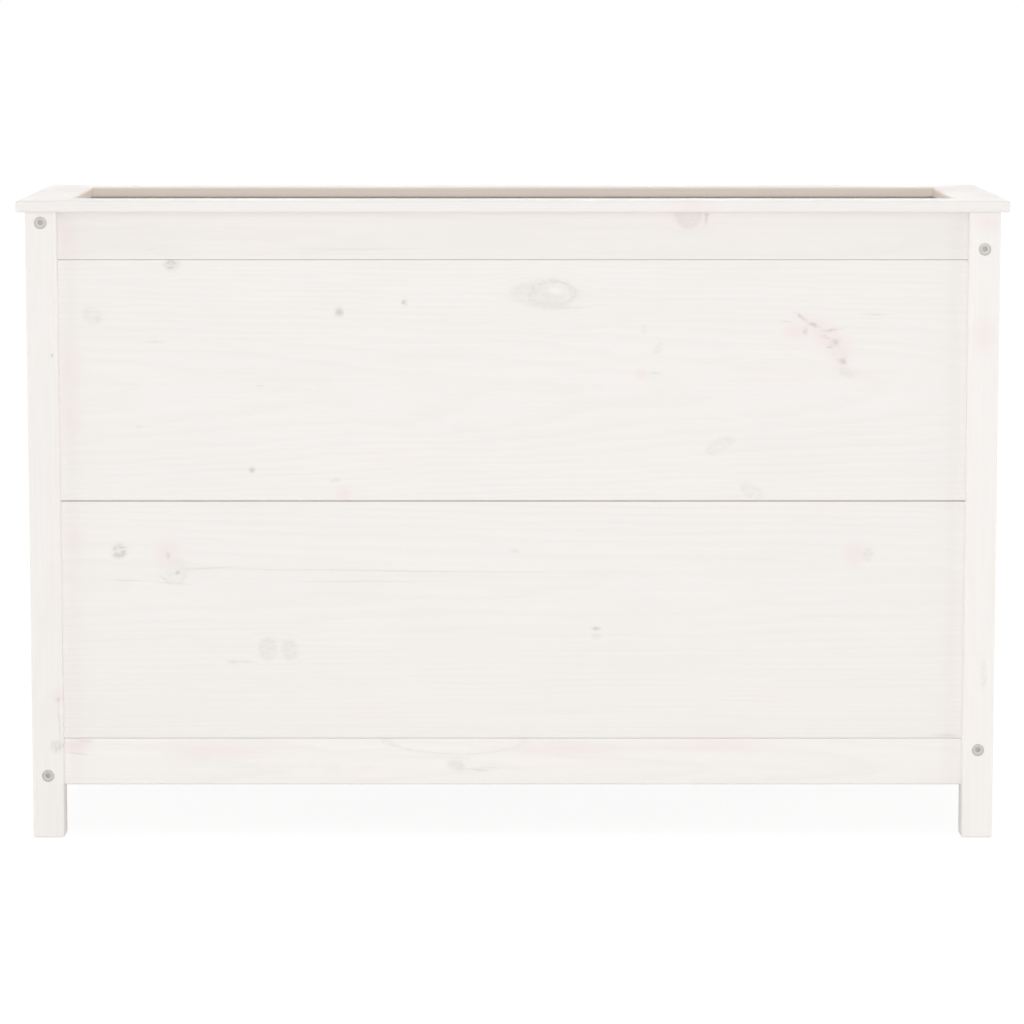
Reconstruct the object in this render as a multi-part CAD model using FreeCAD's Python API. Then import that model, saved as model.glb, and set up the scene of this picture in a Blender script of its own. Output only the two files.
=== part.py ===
import FreeCAD, Part
import math
import os

Vector = FreeCAD.Vector

# Raised garden bed of white stained pine: a deep box on four legs, closed by a flat mitred rim.
# The frame's origin is on the floor under the middle of the bed. +X runs along the bed to the right
# as seen from the front, the front faces -Y, and +Z is up. All sizes are in millimetres.

# Whole bed
LENGTH = 1195.0
DEPTH = 400.0
HEIGHT = 780.0

# Rim boards
RIM_WIDTH = 60.0
RIM_THICKNESS = 14.0
RIM_OVERHANG = 10.0
RIM_ROUND = 3.0
RIM_CORNER = 4.0
MITRE_GAP = 0.2

# Legs
LEG = 38.0
LEG_ROUND = 2.5
FOOT_BEVEL = 1.5

# Walls: rails and boards of one thickness, set back to the middle of the legs
WALL = 16.0
GROUND_CLEARANCE = 64.0
RAIL_HEIGHT = 58.0
RAIL_BEVEL = 1.5
RAIL_SEAM_BEVEL = 0.4
RAIL_SEAM_GAP = 0.35
BOARD_SEAM_BEVEL = 0.6
BOARD_SEAM_GAP = 1.2

# Tongue and groove along the planks' long edges
TONGUE = 6.0
TONGUE_RISE = 5.0
GROOVE = 6.4
GROOVE_DEPTH = 5.5

# Tongues on the boards' ends, in stopped grooves down the legs
END_TONGUE = 8.0
END_TONGUE_REACH = 8.0
LEG_GROOVE = 8.4
LEG_GROOVE_DEPTH = 8.5

# Bolt, cross dowel and wooden dowel at each rail end, the bolts staggered where they cross in a leg
STAGGER = 16.0
BOLT_RADIUS = 3.0
BOLT_BORE_RADIUS = 3.25
BOLT_LENGTH = 60.0
BOLT_HEAD_RADIUS = 7.2
BOLT_HEAD_HEIGHT = 2.2
BOLT_HEAD_BEVEL = 0.3
COUNTERBORE_RADIUS = 7.4
HEX_SOCKET = 5.0
HEX_SOCKET_DEPTH = 3.0
NUT_RADIUS = 5.0
NUT_LENGTH = 12.0
NUT_FROM_END = 20.0
NUT_SLOT_WIDTH = 1.4
NUT_SLOT_DEPTH = 1.5
BOLT_BORE_IN_RAIL = 30.0
DOWEL_RADIUS = 4.0
DOWEL_IN_LEG = 12.0
DOWEL_IN_RAIL = 16.0
DOWEL_BEVEL = 1.0
DOWEL_SPARE = 0.5

# Wooden dowels from the leg tops into the rim, of the same kind
DOWEL_IN_RIM = 10.0
RIM_DOWEL_SPOTS = ((11.0, -9.0), (-9.0, 11.0))

# Floor
BEARER_LENGTH = 1020.0
BEARER_WIDTH = 20.0
BEARER_HEIGHT = 30.0
BEARER_BOTTOM = 68.0
BEARER_BEVEL = 1.5
SLAT_COUNT = 10
SLAT_PITCH = 112.0
SLAT_WIDTH = 105.0
SLAT_THICKNESS = 12.0
SLAT_END_GAP = 2.0
SLAT_ROUND = 2.0
LEG_NOTCH_GAP = 1.5

# Upright battens behind the long walls
BATTEN_WIDTH = 40.0
BATTEN_THICKNESS = 18.0
BATTEN_ROUND = 3.0
BATTEN_TOP_GAP = 0.5

# Countersunk wood screws: shank radius, length
RIM_SCREW = (2.0, 25.0)
FRAME_SCREW = (2.0, 30.0)
SLAT_SCREW = (1.75, 30.0)
SCREW_HEAD_RATIO = 2.0
SCREW_EDGE = 0.4
SCREW_POINT = 5.0
LONG_RIM_SCREWS = (-400.0, -150.0, 150.0, 400.0)
SHORT_RIM_SCREWS = (0.0,)
BEARER_SCREWS = (-448.0, -224.0, 0.0, 224.0, 448.0)
BATTEN_SCREW_HEIGHTS = (170.0, 350.0, 480.0, 650.0, 737.0)
SLAT_SCREW_FROM_BEARER_END = 25.0

# Slanting pockets on the inside of the top rails, for the screws that go up into the rim
POCKET_SLANT = 15.0
POCKET_RADIUS = 4.4
POCKET_REACH = 36.0
POCKET_COVER = 4.2
RIM_SCREW_DEPTH = 13.5

# Heights and distances that follow from the sizes above
LEG_HEIGHT = HEIGHT - RIM_THICKNESS
LEG_X = LENGTH / 2 - RIM_OVERHANG - LEG / 2
LEG_Y = DEPTH / 2 - RIM_OVERHANG - LEG / 2
LONG_CLEAR = 2 * LEG_X - LEG
SHORT_CLEAR = 2 * LEG_Y - LEG
BOTTOM_RAIL = (GROUND_CLEARANCE, GROUND_CLEARANCE + RAIL_HEIGHT)
TOP_RAIL = (LEG_HEIGHT - RAIL_HEIGHT, LEG_HEIGHT)
MIDDLE_SEAM = (BOTTOM_RAIL[1] + TOP_RAIL[0]) / 2
LOWER_BOARD = (BOTTOM_RAIL[1], MIDDLE_SEAM)
UPPER_BOARD = (MIDDLE_SEAM, TOP_RAIL[0])
LONG_WALL_INSIDE = LEG_Y - WALL / 2
FLOOR_UNDERSIDE = BEARER_BOTTOM + BEARER_HEIGHT
FLOOR_TOP = FLOOR_UNDERSIDE + SLAT_THICKNESS
BEARER_FACE = LONG_WALL_INSIDE - BEARER_WIDTH
BATTEN_FACE = LONG_WALL_INSIDE - BATTEN_THICKNESS

# The four walls, each made as the front wall and turned about the bed's middle:
# turn in degrees, clear length between its legs, distance of its centre plane from the origin
WALLS = {
    "front": (0, LONG_CLEAR, LEG_Y),
    "right": (90, SHORT_CLEAR, LEG_X),
    "back": (180, LONG_CLEAR, LEG_Y),
    "left": (270, SHORT_CLEAR, LEG_X),
}

# The four legs are one turned part: turn in degrees, place of the leg's axis
LEGS = {
    "front_left": (0, -LEG_X, -LEG_Y),
    "front_right": (90, LEG_X, -LEG_Y),
    "back_right": (180, LEG_X, LEG_Y),
    "back_left": (270, -LEG_X, LEG_Y),
}

X_AXIS = Vector(1, 0, 0)
Y_AXIS = Vector(0, 1, 0)
Z_AXIS = Vector(0, 0, 1)
ORIGIN = Vector(0, 0, 0)


def box(x, y, z):
    """Box between the low and high ends given along each axis."""
    return Part.makeBox(x[1] - x[0], y[1] - y[0], z[1] - z[0], Vector(x[0], y[0], z[0]))


def bore(radius, start, direction, length):
    """Round bore that starts at a point and runs along a direction."""
    return Part.makeCylinder(radius, length, start, direction)


def prism(corners, direction):
    """Closed outline of corner points, extruded along a direction."""
    return Part.Face(Part.makePolygon(corners + corners[:1])).extrude(direction)


def lathe(outline):
    """Solid turned about Z from the (radius, height) corners of its half section."""
    corners = [Vector(radius, 0, height) for radius, height in outline]
    return Part.Face(Part.makePolygon(corners + corners[:1])).revolve(ORIGIN, Z_AXIS, 360)


def aimed(shape, place, direction):
    """Copy of a shape made along +Z, pointed along a direction and moved to a place."""
    copy = shape.copy()
    copy.Placement = FreeCAD.Placement(place, FreeCAD.Rotation(Z_AXIS, direction))
    return copy


def turned(shape, degrees):
    """Copy of a shape turned about the bed's upright middle line."""
    copy = shape.copy()
    copy.rotate(ORIGIN, Z_AXIS, degrees)
    return copy


def edges_along(shape, direction, wanted):
    """Straight edges that run along a direction and whose middle point is wanted."""
    found = []
    for edge in shape.Edges:
        run = edge.Vertexes[-1].Point - edge.Vertexes[0].Point
        if run.cross(direction).Length < 1e-6 and wanted(edge.CenterOfMass):
            found.append(edge)
    return found


def plank_side(low, high, bevels, groove, tongue, tongue_top):
    """Half section of a wall plank, from below: distances from its centre plane and heights."""
    low_bevel, high_bevel = bevels
    half = WALL / 2
    side = []
    if groove:
        side += [(GROOVE / 2, low + GROOVE_DEPTH), (GROOVE / 2, low)]
    side += [(half - low_bevel, low), (half, low + low_bevel)]
    side += [(half, high - high_bevel), (half - high_bevel, high)]
    if tongue:
        side += [(TONGUE / 2, high), (TONGUE / 2, tongue_top)]
    return side


def plank(length, heights, bevels, gap, groove, tongue):
    """Wall plank along X about its centre plane, grooved below and tongued above where asked.

    Its outer shoulder above is lower by the gap, so the joint closes inside and shows a line outside.
    """
    low, high = heights
    tongue_top = high + TONGUE_RISE
    inside = plank_side(low, high, bevels, groove, tongue, tongue_top)
    outside = plank_side(low, high - gap, bevels, groove, tongue, tongue_top)
    outline = inside + [(-y, z) for y, z in reversed(outside)]
    return prism([Vector(-length / 2, y, z) for y, z in outline], Vector(length, 0, 0))


def board(clear, heights, bevels, gap):
    """Wide wall board with a tongue on each end that slides down a leg's groove."""
    shape = plank(clear, heights, bevels, gap, groove=True, tongue=True)
    low, high = heights
    for end in (-1, 1):
        reach = sorted((end * (clear / 2 - 1), end * (clear / 2 + END_TONGUE_REACH)))
        thickness = (-END_TONGUE / 2, END_TONGUE / 2)
        shape = shape.fuse(box(reach, thickness, (low + GROOVE_DEPTH, high - gap)))
    return shape.removeSplitter()


def rail_ends(level):
    """Side, bolt height and dowel height of both ends of a wall's bottom (-1) or top (1) rail."""
    low, high = TOP_RAIL if level > 0 else BOTTOM_RAIL
    middle = (low + high) / 2
    return [(end, middle + level * end * STAGGER, middle - level * end * STAGGER) for end in (-1, 1)]


def rail(clear, level):
    """Narrow wall plank butted between two legs, bored for its bolts, cross dowels and dowels."""
    if level > 0:
        bevels = (RAIL_SEAM_BEVEL, RAIL_SEAM_BEVEL)
        shape = plank(clear, TOP_RAIL, bevels, gap=0, groove=True, tongue=False)
    else:
        bevels = (RAIL_BEVEL, RAIL_SEAM_BEVEL)
        shape = plank(clear, BOTTOM_RAIL, bevels, RAIL_SEAM_GAP, groove=False, tongue=True)
    bores = []
    for end, bolt_height, dowel_height in rail_ends(level):
        inward = Vector(-end, 0, 0)
        bolt_start = Vector(end * clear / 2, 0, bolt_height)
        dowel_start = Vector(end * clear / 2, 0, dowel_height)
        nut_start = Vector(end * (clear / 2 - NUT_FROM_END), -NUT_LENGTH / 2, bolt_height)
        bores.append(bore(BOLT_BORE_RADIUS, bolt_start, inward, BOLT_BORE_IN_RAIL))
        bores.append(bore(DOWEL_RADIUS, dowel_start, inward, DOWEL_IN_RAIL + DOWEL_SPARE))
        bores.append(bore(NUT_RADIUS, nut_start, Y_AXIS, WALL))
    return shape.cut(bores)


def leg():
    """One leg about its own upright axis, as it stands in the front left corner of the bed."""
    half = LEG / 2
    post = box((-half, half), (-half, half), (0, LEG_HEIGHT))
    post = post.makeFillet(LEG_ROUND, edges_along(post, Z_AXIS, lambda middle: True))
    post = post.makeChamfer(FOOT_BEVEL, [e for e in post.Edges if e.BoundBox.ZMax < FOOT_BEVEL])
    cuts = []
    for level in (-1, 1):
        (_, inner, outer), _ = rail_ends(level)
        cuts.append(bore(BOLT_BORE_RADIUS, Vector(0, -half, outer), Y_AXIS, LEG))
        cuts.append(bore(COUNTERBORE_RADIUS, Vector(0, -half, outer), Y_AXIS, BOLT_HEAD_HEIGHT))
        cuts.append(bore(BOLT_BORE_RADIUS, Vector(-half, 0, inner), X_AXIS, LEG))
        cuts.append(bore(COUNTERBORE_RADIUS, Vector(-half, 0, inner), X_AXIS, BOLT_HEAD_HEIGHT))
        cuts.append(bore(DOWEL_RADIUS, Vector(half, 0, outer), -X_AXIS, DOWEL_IN_LEG + DOWEL_SPARE))
        cuts.append(bore(DOWEL_RADIUS, Vector(0, half, inner), -Y_AXIS, DOWEL_IN_LEG + DOWEL_SPARE))
    groove = leg_groove()
    cuts.append(groove)
    cuts.append(groove.mirror(ORIGIN, Vector(1, -1, 0)))
    dowel_depth = DOWEL_IN_LEG + DOWEL_IN_RAIL - DOWEL_IN_RIM + DOWEL_SPARE
    for x, y in RIM_DOWEL_SPOTS:
        cuts.append(bore(DOWEL_RADIUS, Vector(x, y, LEG_HEIGHT), -Z_AXIS, dowel_depth))
    return post.cut(cuts)


def leg_groove():
    """Stopped groove with round ends down a leg's +X face, for the end tongues of two boards."""
    face = LEG / 2 - LEG_GROOVE_DEPTH
    half_width = LEG_GROOVE / 2
    low, high = BOTTOM_RAIL[1], TOP_RAIL[0]
    groove = box((face, LEG / 2), (-half_width, half_width), (low, high))
    round_ends = [bore(half_width, Vector(face, 0, z), X_AXIS, LEG_GROOVE_DEPTH) for z in (low, high)]
    return groove.fuse(round_ends).removeSplitter()


def rim_board(clear, distance):
    """Rim board over the front wall, rounded on its long edges and mitred at both ends."""
    length = clear + 2 * LEG + 2 * RIM_OVERHANG
    front = -distance - LEG / 2 - RIM_OVERHANG
    back = front + RIM_WIDTH
    shape = box((-length / 2, length / 2), (front, back), (LEG_HEIGHT, HEIGHT))
    shape = shape.makeFillet(RIM_ROUND, edges_along(shape, X_AXIS, lambda middle: True))
    tip = length / 2 - MITRE_GAP / 2 ** 0.5
    heel = tip - RIM_WIDTH
    corners = [(-tip, front), (tip, front), (heel, back), (-heel, back)]
    mitred = prism([Vector(x, y, LEG_HEIGHT) for x, y in corners], Vector(0, 0, RIM_THICKNESS))
    rounded = box((-length / 2, length / 2), (front, -front), (LEG_HEIGHT, HEIGHT))
    rounded = rounded.makeFillet(RIM_CORNER, edges_along(rounded, Z_AXIS, lambda middle: True))
    return shape.common(mitred).common(rounded)


def bearer():
    """Floor bearer along the inside of the front bottom rail."""
    half = BEARER_LENGTH / 2
    shape = box((-half, half), (-LONG_WALL_INSIDE, -BEARER_FACE), (BEARER_BOTTOM, FLOOR_UNDERSIDE))
    return shape.makeChamfer(BEARER_BEVEL, edges_along(shape, X_AXIS, lambda p: p.y > -BEARER_FACE - 1))


def batten():
    """Upright batten on the floor behind the middle of the front wall."""
    half = BATTEN_WIDTH / 2
    heights = (FLOOR_TOP, LEG_HEIGHT - BATTEN_TOP_GAP)
    shape = box((-half, half), (-LONG_WALL_INSIDE, -BATTEN_FACE), heights)
    return shape.makeFillet(BATTEN_ROUND, edges_along(shape, Z_AXIS, lambda p: p.y > -BATTEN_FACE - 1))


def slat(x):
    """Floor slat across the bed, with its upper edges rounded and the end ones notched round the legs."""
    half_width = SLAT_WIDTH / 2
    half_length = LONG_WALL_INSIDE - SLAT_END_GAP
    heights = (FLOOR_UNDERSIDE, FLOOR_TOP)
    shape = box((x - half_width, x + half_width), (-half_length, half_length), heights)
    shape = shape.makeFillet(SLAT_ROUND, edges_along(shape, Y_AXIS, lambda p: p.z > FLOOR_TOP - 1))
    reach = LEG / 2 + LEG_NOTCH_GAP
    notches = []
    for leg_x in (-LEG_X, LEG_X):
        for leg_y in (-LEG_Y, LEG_Y):
            notches.append(box((leg_x - reach, leg_x + reach), (leg_y - reach, leg_y + reach), heights))
    return shape.cut(notches)


def bolt():
    """Connector bolt along +Z, its flat bevelled head at the bottom with a hexagon socket."""
    shape = lathe([
        (0, 0),
        (BOLT_HEAD_RADIUS - BOLT_HEAD_BEVEL, 0),
        (BOLT_HEAD_RADIUS, BOLT_HEAD_BEVEL),
        (BOLT_HEAD_RADIUS, BOLT_HEAD_HEIGHT),
        (BOLT_RADIUS, BOLT_HEAD_HEIGHT),
        (BOLT_RADIUS, BOLT_HEAD_HEIGHT + BOLT_LENGTH),
        (0, BOLT_HEAD_HEIGHT + BOLT_LENGTH),
    ])
    socket_corner = Vector(HEX_SOCKET / 3 ** 0.5, 0, 0)
    turns = [FreeCAD.Rotation(Z_AXIS, 60 * step) for step in range(6)]
    return shape.cut(prism([turn.multVec(socket_corner) for turn in turns], Vector(0, 0, HEX_SOCKET_DEPTH)))


def cross_dowel():
    """Barrel nut along +Z about its own middle, drilled across for the bolt and slotted on one end."""
    half = NUT_LENGTH / 2
    shape = bore(NUT_RADIUS, Vector(0, 0, -half), Z_AXIS, NUT_LENGTH)
    drilling = bore(BOLT_RADIUS, Vector(-NUT_RADIUS, 0, 0), X_AXIS, 2 * NUT_RADIUS)
    half_slot = NUT_SLOT_WIDTH / 2
    slot = box((-NUT_RADIUS, NUT_RADIUS), (-half_slot, half_slot), (half - NUT_SLOT_DEPTH, half))
    return shape.cut([drilling, slot])


def dowel():
    """Wooden dowel along +Z with bevelled ends, the shorter stretch below zero going into the leg."""
    low, high = -DOWEL_IN_LEG, DOWEL_IN_RAIL
    tip = DOWEL_RADIUS - DOWEL_BEVEL
    return lathe([
        (0, low),
        (tip, low),
        (DOWEL_RADIUS, low + DOWEL_BEVEL),
        (DOWEL_RADIUS, high - DOWEL_BEVEL),
        (tip, high),
        (0, high),
    ])


def screw(size):
    """Countersunk wood screw driven along +Z, with the top of its head at zero."""
    radius, length = size
    head_radius = radius * SCREW_HEAD_RATIO
    return lathe([
        (0, 0),
        (head_radius, 0),
        (head_radius, SCREW_EDGE),
        (radius, SCREW_EDGE + head_radius - radius),
        (radius, length - SCREW_POINT),
        (0, length),
    ])


def wall_hardware(clear, distance):
    """Bolts, cross dowels and dowels that hold the front wall's rails to its legs."""
    bolts, nuts, dowels = [], [], []
    for level in (-1, 1):
        for end, bolt_height, dowel_height in rail_ends(level):
            inward = Vector(-end, 0, 0)
            head = Vector(end * (clear / 2 + LEG), -distance, bolt_height)
            nut = Vector(end * (clear / 2 - NUT_FROM_END), -distance, bolt_height)
            shoulder = Vector(end * clear / 2, -distance, dowel_height)
            bolts.append(aimed(bolt(), head, inward))
            nuts.append(aimed(cross_dowel(), nut, Y_AXIS))
            dowels.append(aimed(dowel(), shoulder, inward))
    return bolts, nuts, dowels


def rim_dowel_places():
    """Points on the leg tops where dowels stand that hold the rim's corners."""
    places = []
    for turn, x, y in LEGS.values():
        for spot in RIM_DOWEL_SPOTS:
            places.append(Vector(x, y, LEG_HEIGHT) + FreeCAD.Rotation(Z_AXIS, turn).multVec(Vector(*spot, 0)))
    return places


def rim_screw_places():
    """Head and direction of each screw driven up into the rim from a pocket inside a top rail."""
    slant = math.radians(POCKET_SLANT)
    upward = Vector(0, -math.sin(slant), math.cos(slant))
    places = []
    for turn, clear, distance in WALLS.values():
        rotation = FreeCAD.Rotation(Z_AXIS, turn)
        for along in LONG_RIM_SCREWS if clear == LONG_CLEAR else SHORT_RIM_SCREWS:
            head = Vector(along, WALL / 2 - POCKET_COVER - distance, LEG_HEIGHT - RIM_SCREW_DEPTH)
            places.append((rotation.multVec(head), rotation.multVec(upward)))
    return places


def slat_screw_places(x):
    """Tops of the two screws that hold a slat to the bearers."""
    reach = BEARER_LENGTH / 2 - SLAT_SCREW_FROM_BEARER_END
    along = max(-reach, min(reach, x))
    across = LONG_WALL_INSIDE - BEARER_WIDTH / 2
    return [Vector(along, side * across, FLOOR_TOP) for side in (-1, 1)]


parts = {}

rim_screws = [aimed(screw(RIM_SCREW), head, upward) for head, upward in rim_screw_places()]
pockets = [bore(POCKET_RADIUS, head, -upward, POCKET_REACH) for head, upward in rim_screw_places()]
rim_bore_depth = DOWEL_IN_RIM + DOWEL_SPARE
rim_dowel_bores = [bore(DOWEL_RADIUS, place, Z_AXIS, rim_bore_depth) for place in rim_dowel_places()]
bearer_screws = []
batten_screws = []
slat_screws = []
bolts = []
nuts = []
rim_dowel_drop = Z_AXIS * (DOWEL_IN_LEG - DOWEL_IN_RIM)
dowels = [aimed(dowel(), place - rim_dowel_drop, -Z_AXIS) for place in rim_dowel_places()]

# Long walls carry a bearer and a batten, screwed on from inside
bearer_height = BEARER_BOTTOM + BEARER_HEIGHT / 2
front_bearer_screws = [
    aimed(screw(FRAME_SCREW), Vector(x, -BEARER_FACE, bearer_height), -Y_AXIS) for x in BEARER_SCREWS
]
front_batten_screws = [
    aimed(screw(FRAME_SCREW), Vector(0, -BATTEN_FACE, z), -Y_AXIS) for z in BATTEN_SCREW_HEIGHTS
]
for name in ("front", "back"):
    turn = WALLS[name][0]
    bearer_screws += [turned(shape, turn) for shape in front_bearer_screws]
    batten_screws += [turned(shape, turn) for shape in front_batten_screws]

# Floor slats, counted from the left
for number in range(SLAT_COUNT):
    x = (number - (SLAT_COUNT - 1) / 2) * SLAT_PITCH
    screws = [aimed(screw(SLAT_SCREW), place, -Z_AXIS) for place in slat_screw_places(x)]
    slat_screws += screws
    parts[f"floor_slat_{number + 1:02d}"] = slat(x).cut(screws)

# Legs
for name, (turn, x, y) in LEGS.items():
    shape = turned(leg(), turn)
    shape.translate(Vector(x, y, 0))
    parts[f"leg_{name}"] = shape

# Walls and rim
for name, (turn, clear, distance) in WALLS.items():
    set_back = Vector(0, -distance, 0)
    planks = {
        "bottom_rail": rail(clear, -1),
        "lower_board": board(clear, LOWER_BOARD, (RAIL_SEAM_BEVEL, BOARD_SEAM_BEVEL), BOARD_SEAM_GAP),
        "upper_board": board(clear, UPPER_BOARD, (BOARD_SEAM_BEVEL, RAIL_SEAM_BEVEL), RAIL_SEAM_GAP),
        "top_rail": rail(clear, 1),
    }
    fixings = {
        "bottom_rail": bearer_screws,
        "lower_board": batten_screws,
        "upper_board": batten_screws,
        "top_rail": batten_screws + rim_screws + pockets,
    }
    for piece, shape in planks.items():
        shape.translate(set_back)
        parts[f"{piece}_{name}"] = turned(shape, turn).cut(fixings[piece])
    parts[f"rim_{name}"] = turned(rim_board(clear, distance), turn).cut(rim_screws + rim_dowel_bores)
    wall_bolts, wall_nuts, wall_dowels = wall_hardware(clear, distance)
    bolts += [turned(shape, turn) for shape in wall_bolts]
    nuts += [turned(shape, turn) for shape in wall_nuts]
    dowels += [turned(shape, turn) for shape in wall_dowels]

for name in ("front", "back"):
    turn = WALLS[name][0]
    parts[f"floor_bearer_{name}"] = turned(bearer(), turn).cut(bearer_screws + slat_screws)
    parts[f"centre_batten_{name}"] = turned(batten(), turn).cut(batten_screws)

# Like fasteners share a node, each one a solid of its own
parts["leg_bolts"] = Part.makeCompound(bolts)
parts["barrel_nuts"] = Part.makeCompound(nuts)
parts["rail_dowels"] = Part.makeCompound(dowels)
parts["rim_screws"] = Part.makeCompound(rim_screws)
parts["bearer_screws"] = Part.makeCompound(bearer_screws)
parts["batten_screws"] = Part.makeCompound(batten_screws)
parts["slat_screws"] = Part.makeCompound(slat_screws)

os.makedirs("parts", exist_ok=True)
for name, shape in parts.items():
    shape.exportStep(f"parts/{name}.step")
    print(name, len(shape.Solids), "valid" if shape.isValid() else "NOT VALID", round(shape.Volume))
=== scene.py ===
import math
import random

import bmesh
import bpy
from mathutils import Matrix, Vector


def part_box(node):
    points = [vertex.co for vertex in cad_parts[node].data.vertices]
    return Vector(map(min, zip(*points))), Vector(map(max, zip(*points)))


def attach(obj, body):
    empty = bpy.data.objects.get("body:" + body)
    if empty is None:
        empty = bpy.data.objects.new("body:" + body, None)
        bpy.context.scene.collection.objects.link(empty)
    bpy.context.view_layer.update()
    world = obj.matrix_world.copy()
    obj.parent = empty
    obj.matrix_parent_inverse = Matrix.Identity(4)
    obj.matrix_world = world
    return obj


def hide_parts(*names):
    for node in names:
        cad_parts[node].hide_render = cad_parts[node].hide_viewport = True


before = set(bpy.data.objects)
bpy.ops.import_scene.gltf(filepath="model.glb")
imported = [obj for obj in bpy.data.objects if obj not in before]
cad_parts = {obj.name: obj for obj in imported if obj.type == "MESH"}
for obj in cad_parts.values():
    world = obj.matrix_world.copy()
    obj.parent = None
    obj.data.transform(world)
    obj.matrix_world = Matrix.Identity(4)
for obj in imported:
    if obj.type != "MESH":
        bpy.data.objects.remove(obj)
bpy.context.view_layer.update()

# Raised garden bed of white stained pine. The front faces -Y, +X is to the right and +Z is up.
# Objects are in metres. Sizes of wood, marks and fasteners are written in millimetres.
MM = 0.001
X, Y, Z = Vector((1, 0, 0)), Vector((0, 1, 0)), Vector((0, 0, 1))

# Sizes of the bed that its coats and fasteners follow, in millimetres from its middle and from the ground
LEG = 38.0
LEG_X, LEG_Y = 568.5, 171.0
LEG_TOP = 766.0
WALL = 16.0
TONGUE_RISE = 5.0
RAIL_MIDDLES = {-1: 93.0, 1: 737.0}
RIM_INSIDE_X, RIM_INSIDE_Y = 537.5, 140.0
FLOOR_UNDERSIDE, FLOOR_TOP = 98.0, 110.0
SLAT_PITCH = 112.0
SLAT_COUNT = 10
# Faces that screw heads lie flush with, and the places of the screws
BEARER_FACE = 143.0
BEARER_MIDDLE = 83.0
BEARER_SCREWS = (-448.0, -224.0, 0.0, 224.0, 448.0)
BATTEN_FACE = 145.0
BATTEN_SCREW_HEIGHTS = (170.0, 350.0, 480.0, 650.0, 737.0)
SLAT_SCREW_REACH = 485.0
SLAT_SCREW_ACROSS = 153.0
# Rim screws stand in slanted pockets inside the top rails: slant in degrees, how far the head lies behind
# the rail's inner face and below the rim
POCKET_SLANT = 15.0
POCKET_COVER = 4.2
RIM_SCREW_DEPTH = 13.5
LONG_RIM_SCREWS = (-400.0, -150.0, 150.0, 400.0)
# Bolts of neighbouring walls pass each other in the leg, this far above or below the rail's middle
STAGGER = 16.0


def linear(tone):
    """A colour written as sRGB hex, as the linear numbers that a shader takes."""
    parts = [int(tone[start:start + 2], 16) / 255 for start in (0, 2, 4)]
    return [part / 12.92 if part <= 0.04045 else ((part + 0.055) / 1.055) ** 2.4 for part in parts] + [1.0]


def node(tree, kind, inputs=None, stops=None, **settings):
    """Adds a shader node.

    Inputs are values, nodes or sockets by the input's name or number. Stops are a ramp's places and colours.
    """
    made = tree.nodes.new("ShaderNode" + kind)
    for name, value in settings.items():
        setattr(made, name, value)
    for key, value in (inputs or {}).items():
        if isinstance(value, bpy.types.Node):
            value = value.outputs[0]
        if isinstance(value, bpy.types.NodeSocket):
            tree.links.new(value, made.inputs[key])
        else:
            made.inputs[key].default_value = value
    if stops:
        ramp = made.color_ramp.elements
        ramp.remove(ramp[1])
        ramp[0].position, ramp[0].color = stops[0]
        for position, colour in stops[1:]:
            ramp.new(position).color = colour
    return made


def blank_material(name):
    """An empty node material and its tree."""
    material = bpy.data.materials.new(name)
    material.use_nodes = True
    material.node_tree.nodes.clear()
    return material, material.node_tree


# Marks in the pine, from the middle of a mark outwards: distance in mark sizes, tone, cover
MARK_TONES = {
    "ring": [(0.0, "EEEAE6", 0.3), (0.65, "ECE8E4", 0.5), (0.85, "E8E4E0", 0.8), (0.98, "E2DEDA", 1.0),
             (1.1, "E8E4E1", 0.6), (1.35, "EFEBE8", 0.25), (1.8, "F2EEEB", 0.0)],
    "smoke": [(0.0, "E9E5E1", 0.95), (0.6, "EAE6E2", 0.9), (0.95, "E9E5E1", 0.8), (1.2, "EFEBE8", 0.4),
              (1.6, "F1EDEA", 0.0)],
    "core": [(0.0, "F6F2EF", 1.0), (0.7, "F4F0ED", 0.9), (1.2, "F1EDEA", 0.0)],
    "dead": [(0.0, "E5E1DD", 0.9), (0.4, "DEDAD6", 1.0), (0.85, "D8D4D0", 1.0), (1.1, "E3DFDB", 0.8),
             (1.45, "EDE9E6", 0.35), (1.95, "F1EDEA", 0.0)],
    "pin": [(0.0, "D5D1CD", 1.0), (0.45, "DAD6D2", 1.0), (0.85, "E4E0DC", 0.85), (1.2, "E9E5E1", 0.6),
            (1.8, "EFEBE8", 0.0)],
    "stroke": [(0.0, "DACFCD", 1.0), (0.6, "DFD6D4", 0.9), (1.1, "EAE2E1", 0.5), (1.8, "F0ECE9", 0.0)],
    "pink": [(0.0, "F4E8E7", 0.9), (0.7, "F4EAE8", 0.75), (1.2, "F4EDEB", 0.35), (1.95, "F4EFEC", 0.0)],
    "blush": [(0.0, "F4EAE8", 0.75), (0.8, "F4ECEA", 0.55), (1.9, "F4EFEC", 0.0)],
    "rose": [(0.0, "ECE5E2", 1.0), (0.6, "EAE2E0", 1.0), (0.95, "E8DFDD", 0.95), (1.15, "EEE8E6", 0.5),
             (1.6, "F2EDEA", 0.0)],
    "faint": [(0.0, "EEEAE6", 0.7), (0.8, "ECE8E4", 0.8), (1.0, "EBE7E3", 0.8), (1.25, "F0ECE9", 0.35),
              (1.8, "F2EEEB", 0.0)],
    "line": [(0.0, "E2DEDA", 0.95), (0.5, "E6E2DE", 0.7), (1.2, "EEEAE7", 0.3), (1.8, "F3EFEC", 0.0)],
    "hoop": [(0.0, "F0ECE9", 0.0), (0.86, "EEEAE7", 0.0), (0.97, "E9E5E1", 0.7), (1.03, "ECE8E4", 0.5),
             (1.12, "F0ECE9", 0.0)],
}
# Marks of these kinds follow the grain, and the others have ragged outlines
GRAIN_FOLLOWERS = ("line", "hoop")
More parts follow.
